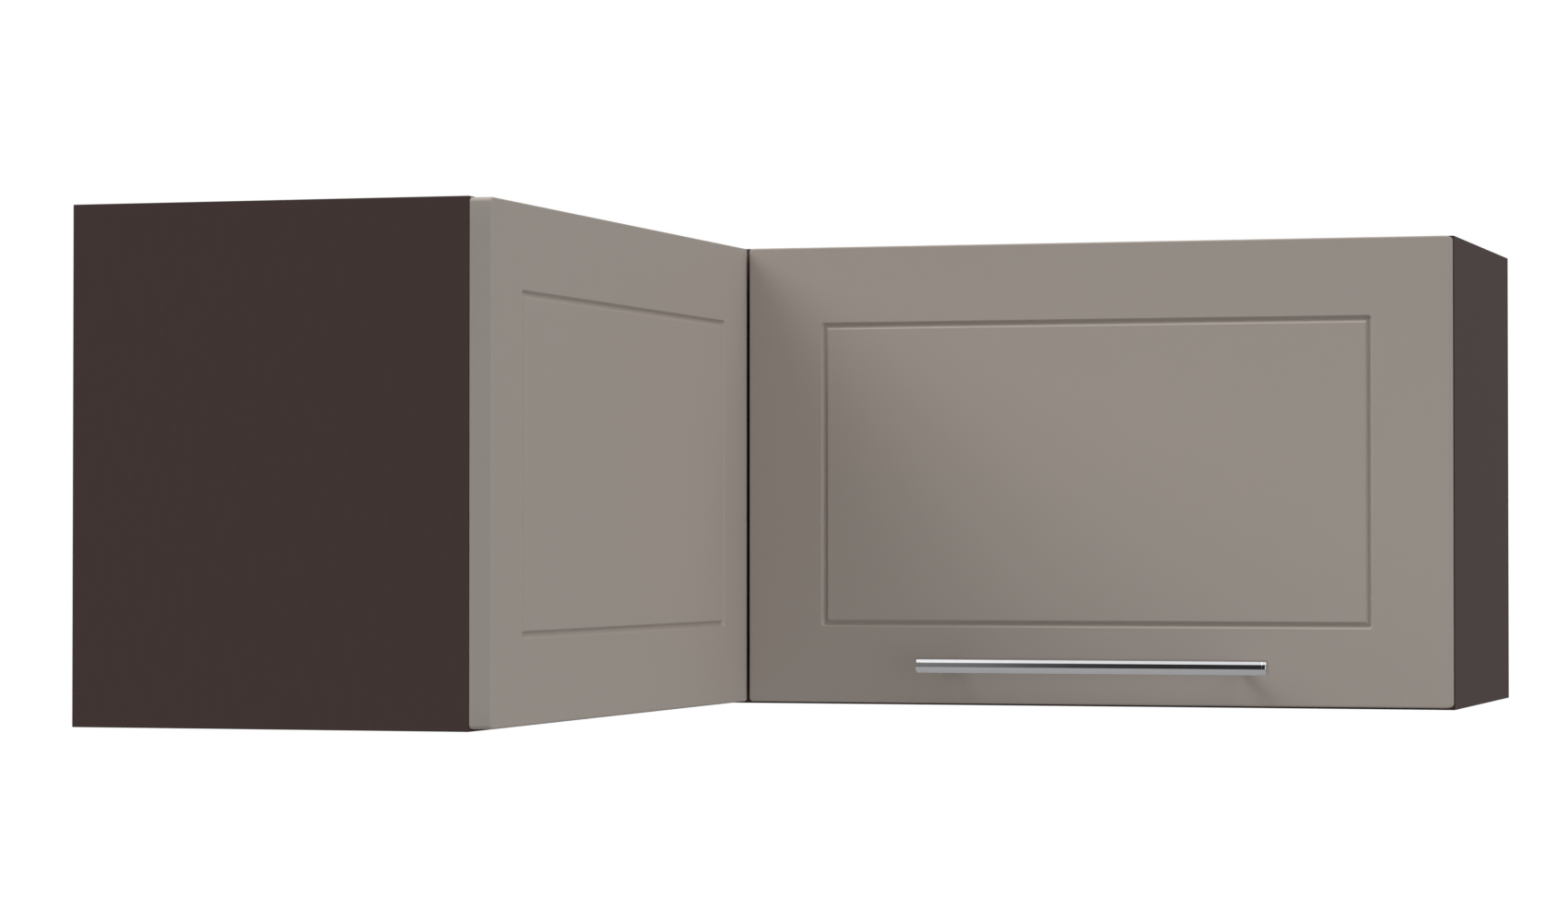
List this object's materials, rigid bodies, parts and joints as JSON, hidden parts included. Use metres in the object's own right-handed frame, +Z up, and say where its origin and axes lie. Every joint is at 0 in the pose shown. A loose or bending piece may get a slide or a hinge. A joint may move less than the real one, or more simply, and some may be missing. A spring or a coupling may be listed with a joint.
{
  "type": "corner wall cabinet",
  "caption": "L-shaped corner wall cabinet with a fixed blind front on the left wing and a top-hung lift-up flap with a bar handle on the right wing.",
  "frame": {"origin": "the corner of the two walls, level with the cabinet's underside: the rear corner of the bottom board", "axes": "+X along the back wall towards the right wing's end, +Y into the back wall (the room is at -Y), +Z up"},
  "size_m": [0.864, 0.892, 0.36],
  "materials": {
    "laminate": "dark brown melamine-faced chipboard, satin",
    "hardboard": "dark lacquered 3 mm hardboard",
    "foil": "warm grey-beige soft matt foil on routed fibreboard",
    "chrome": "satin chrome",
    "nickel": "nickel-plated pressed steel",
    "zinc": "zinc plate",
    "black_steel": "black lacquered steel",
    "grey_plastic": "grey moulded plastic",
    "white_plastic": "white moulded plastic",
    "clear_rubber": "clear soft bumper"
  },
  "bodies": {
    "carcass": {"left_end_panel": "laminate", "right_end_panel": "laminate", "top_board": "laminate", "bottom_board": "laminate", "back_panel_left": "hardboard", "back_panel_right": "hardboard", "inner_post_flap_side": "laminate", "inner_post_blind_side": "laminate", "rear_corner_batten": "laminate", "cam_top_left_front": "zinc", "cam_top_left_rear": "zinc", "cam_top_right_front": "zinc", "cam_top_right_rear": "zinc", "cam_bottom_left_front": "zinc", "cam_bottom_left_rear": "zinc", "cam_bottom_right_front": "zinc", "cam_bottom_right_rear": "zinc", "blind_front": "foil", "front_bracket_end_lower": "zinc", "front_bracket_end_upper": "zinc", "front_bracket_post_lower": "zinc", "front_bracket_post_upper": "zinc", "hinge_arm_left": "nickel", "hinge_arm_right": "nickel", "hinge_plate_left": "nickel", "hinge_plate_right": "nickel", "hinge_arm_screw_left": "zinc", "hinge_arm_screw_right": "zinc", "hinge_plate_screw_left_a": "zinc", "hinge_plate_screw_left_b": "zinc", "hinge_plate_screw_right_a": "zinc", "hinge_plate_screw_right_b": "zinc", "strut_bracket_panel": "zinc", "hanger_body_left_end": "white_plastic", "hanger_body_corner": "white_plastic", "hanger_body_right_end": "white_plastic", "hanger_hook_left_end": "zinc", "hanger_hook_corner": "zinc", "hanger_hook_right_end": "zinc"},
    "flap_leaf": {"flap": "foil", "bumper_left": "clear_rubber", "bumper_right": "clear_rubber", "handle_bar": "chrome", "handle_post_left": "chrome", "handle_post_right": "chrome", "handle_screw_left": "zinc", "handle_screw_right": "zinc", "hinge_cup_left": "nickel", "hinge_cup_right": "nickel", "hinge_pin_left": "nickel", "hinge_pin_right": "nickel", "hinge_cup_screw_left_a": "zinc", "hinge_cup_screw_left_b": "zinc", "hinge_cup_screw_right_a": "zinc", "hinge_cup_screw_right_b": "zinc", "strut_bracket_flap": "zinc"},
    "strut_body": {"strut_cylinder": "black_steel", "strut_end_lower": "grey_plastic"},
    "strut_piston": {"strut_rod": "chrome", "strut_end_upper": "grey_plastic"}
  },
  "joints": [
    {"name": "flap_hinge", "type": "hinge", "parent": "carcass", "child": "flap_leaf", "pos_m": [0.58675, -0.3085, 0.352], "axis": [-1, 0, 0], "range_deg": [0, 95]},
    {"name": "strut_pivot", "type": "hinge", "parent": "carcass", "child": "strut_body", "pos_m": [0.834, -0.171, 0.18], "axis": [-1, 0, 0], "range_deg": [-10.53, 0]},
    {"name": "strut_stroke", "type": "slide", "parent": "strut_body", "child": "strut_piston", "axis": [0, -0.669, 0.7433], "range_m": [0, 0.08036]}
  ],
  "couplings": [
    {"joint": "strut_pivot", "follows": "flap_hinge", "ratio": -0.11083},
    {"joint": "strut_stroke", "follows": "flap_hinge", "m_per_rad": 0.048463}
  ]
}
